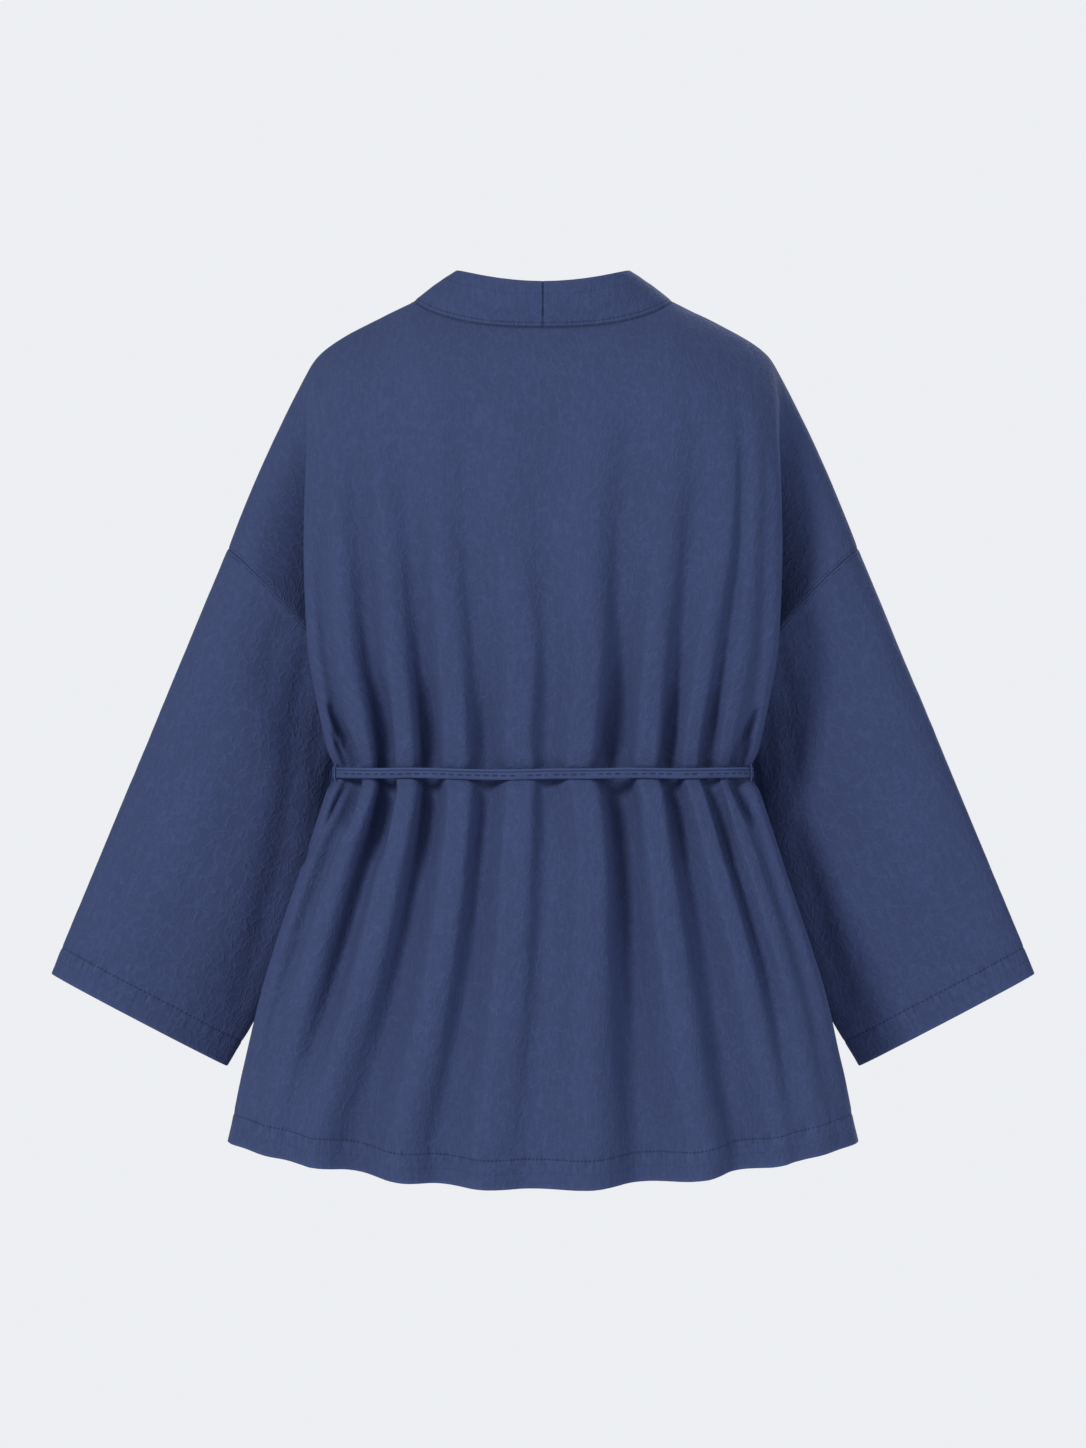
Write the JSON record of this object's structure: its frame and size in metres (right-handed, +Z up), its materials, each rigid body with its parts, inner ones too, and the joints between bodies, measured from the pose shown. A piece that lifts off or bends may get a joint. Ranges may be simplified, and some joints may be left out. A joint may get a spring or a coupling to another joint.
{
  "type": "short kimono jacket",
  "caption": "short wrap jacket in the kimono cut, with drop shoulders, wide sleeves, a standing neckband and a narrow tie belt that gathers the back",
  "frame": {"origin": "middle of the neck base, level with the tops of the shoulders, where a hanger or a figure holds the garment", "axes": "+X to the wearer's left, across the widest span from cuff to cuff; +Y to the wearer's back, the shallowest way; +Z up"},
  "size_m": [0.8536, 0.2801, 0.7883],
  "materials": {
    "back_cloth": "washed blue cotton, fine upright weave, soft matt",
    "front_left_cloth": "washed blue cotton, fine upright weave, soft matt",
    "front_right_cloth": "washed blue cotton, fine upright weave, soft matt",
    "sleeve_left_cloth": "washed blue cotton, fine weave along the sleeve, soft matt",
    "sleeve_right_cloth": "washed blue cotton, fine weave along the sleeve, soft matt",
    "collar_left_cloth": "washed blue cotton, folded double, soft matt",
    "collar_right_cloth": "washed blue cotton, folded double, soft matt",
    "belt_cloth": "washed blue cotton, folded and stitched lengthwise, soft matt",
    "belt_knot_cloth": "washed blue cotton, soft matt",
    "belt_tail_left_cloth": "washed blue cotton, folded and stitched lengthwise, soft matt",
    "belt_tail_right_cloth": "washed blue cotton, folded and stitched lengthwise, soft matt",
    "belt_loop_left_cloth": "blue cotton thread chain, soft matt",
    "belt_loop_right_cloth": "blue cotton thread chain, soft matt"
  },
  "bodies": {
    "root": {"back": "back_cloth", "front_left": "front_left_cloth", "front_right": "front_right_cloth", "sleeve_left": "sleeve_left_cloth", "sleeve_right": "sleeve_right_cloth", "collar_left": "collar_left_cloth", "collar_right": "collar_right_cloth", "belt": "belt_cloth", "belt_knot": "belt_knot_cloth", "belt_tail_left": "belt_tail_left_cloth", "belt_tail_right": "belt_tail_right_cloth", "belt_loop_left": "belt_loop_left_cloth", "belt_loop_right": "belt_loop_right_cloth"}
  },
  "joints": []
}
